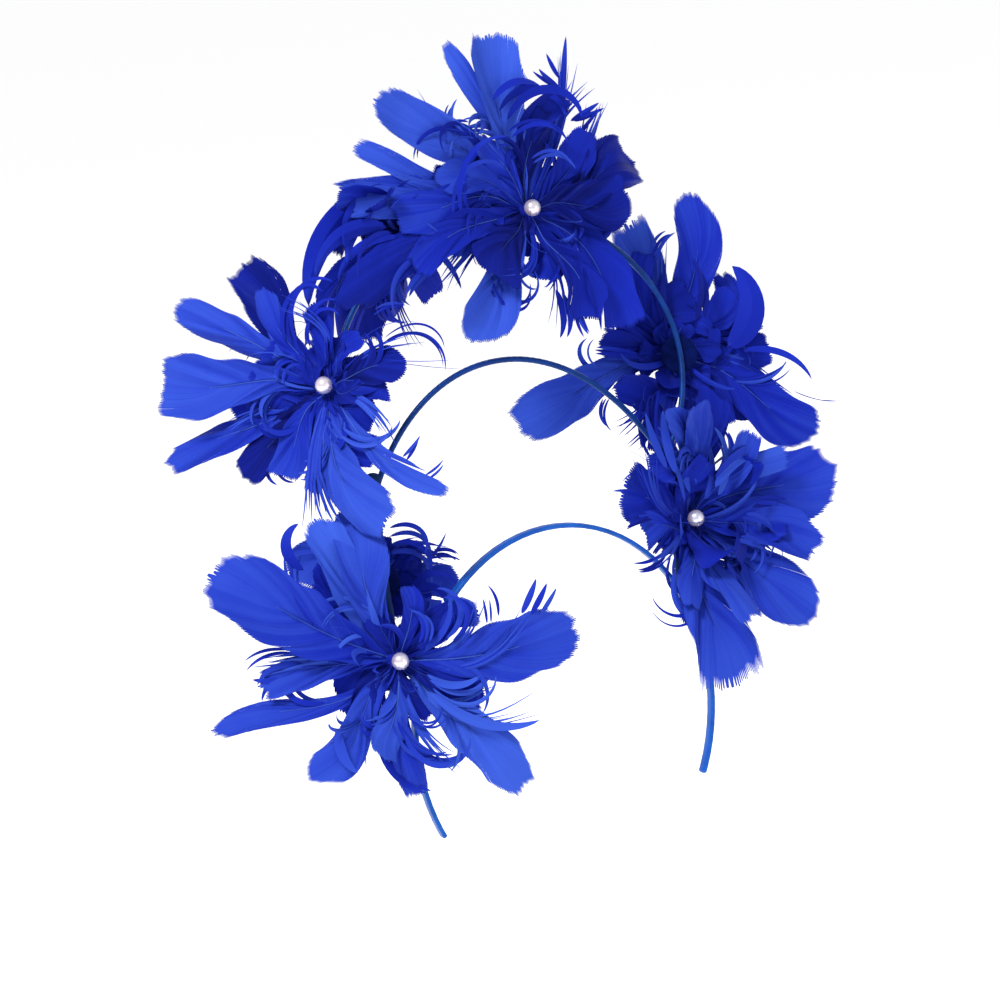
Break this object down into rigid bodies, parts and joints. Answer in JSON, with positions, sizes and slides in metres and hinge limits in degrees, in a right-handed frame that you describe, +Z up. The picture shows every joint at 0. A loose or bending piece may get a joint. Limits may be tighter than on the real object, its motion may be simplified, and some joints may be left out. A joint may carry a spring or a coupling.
{
  "type": "feather flower headband fascinator",
  "caption": "Royal blue halo fascinator: curled feather flowers with pearl centres on two covered wire arcs over a slim satin headband.",
  "frame": {"origin": "inner face of the headband at the top of the wearer's head, midway between the ears", "axes": "+X to the wearer's left, the wearer faces -Y, +Z up"},
  "size_m": [0.3368, 0.1345, 0.3478],
  "materials": {
    "satin": "satin ribbon",
    "wrap": "dark blue ribbon wrapping",
    "feather": "dyed goose feather",
    "felt": "navy felt",
    "pearl": "pearlescent"
  },
  "bodies": {
    "root": {"headband": "satin", "inner_arc": "satin", "outer_arc": "satin", "left_stem": "wrap", "right_stem": "wrap", "right_temple_feathers": "feather", "right_temple_disc": "felt", "right_temple_pearl": "pearl", "right_side_feathers": "feather", "right_side_disc": "felt", "right_side_pearl": "pearl", "crown_front_feathers": "feather", "crown_front_disc": "felt", "crown_front_pearl": "pearl", "left_side_feathers": "feather", "left_side_disc": "felt", "left_side_pearl": "pearl", "left_temple_feathers": "feather", "left_temple_disc": "felt", "left_temple_pearl": "pearl", "crown_right_feathers": "feather", "crown_right_disc": "felt", "crown_right_pearl": "pearl", "right_back_feathers": "feather", "right_back_disc": "felt", "right_back_pearl": "pearl"}
  },
  "joints": []
}
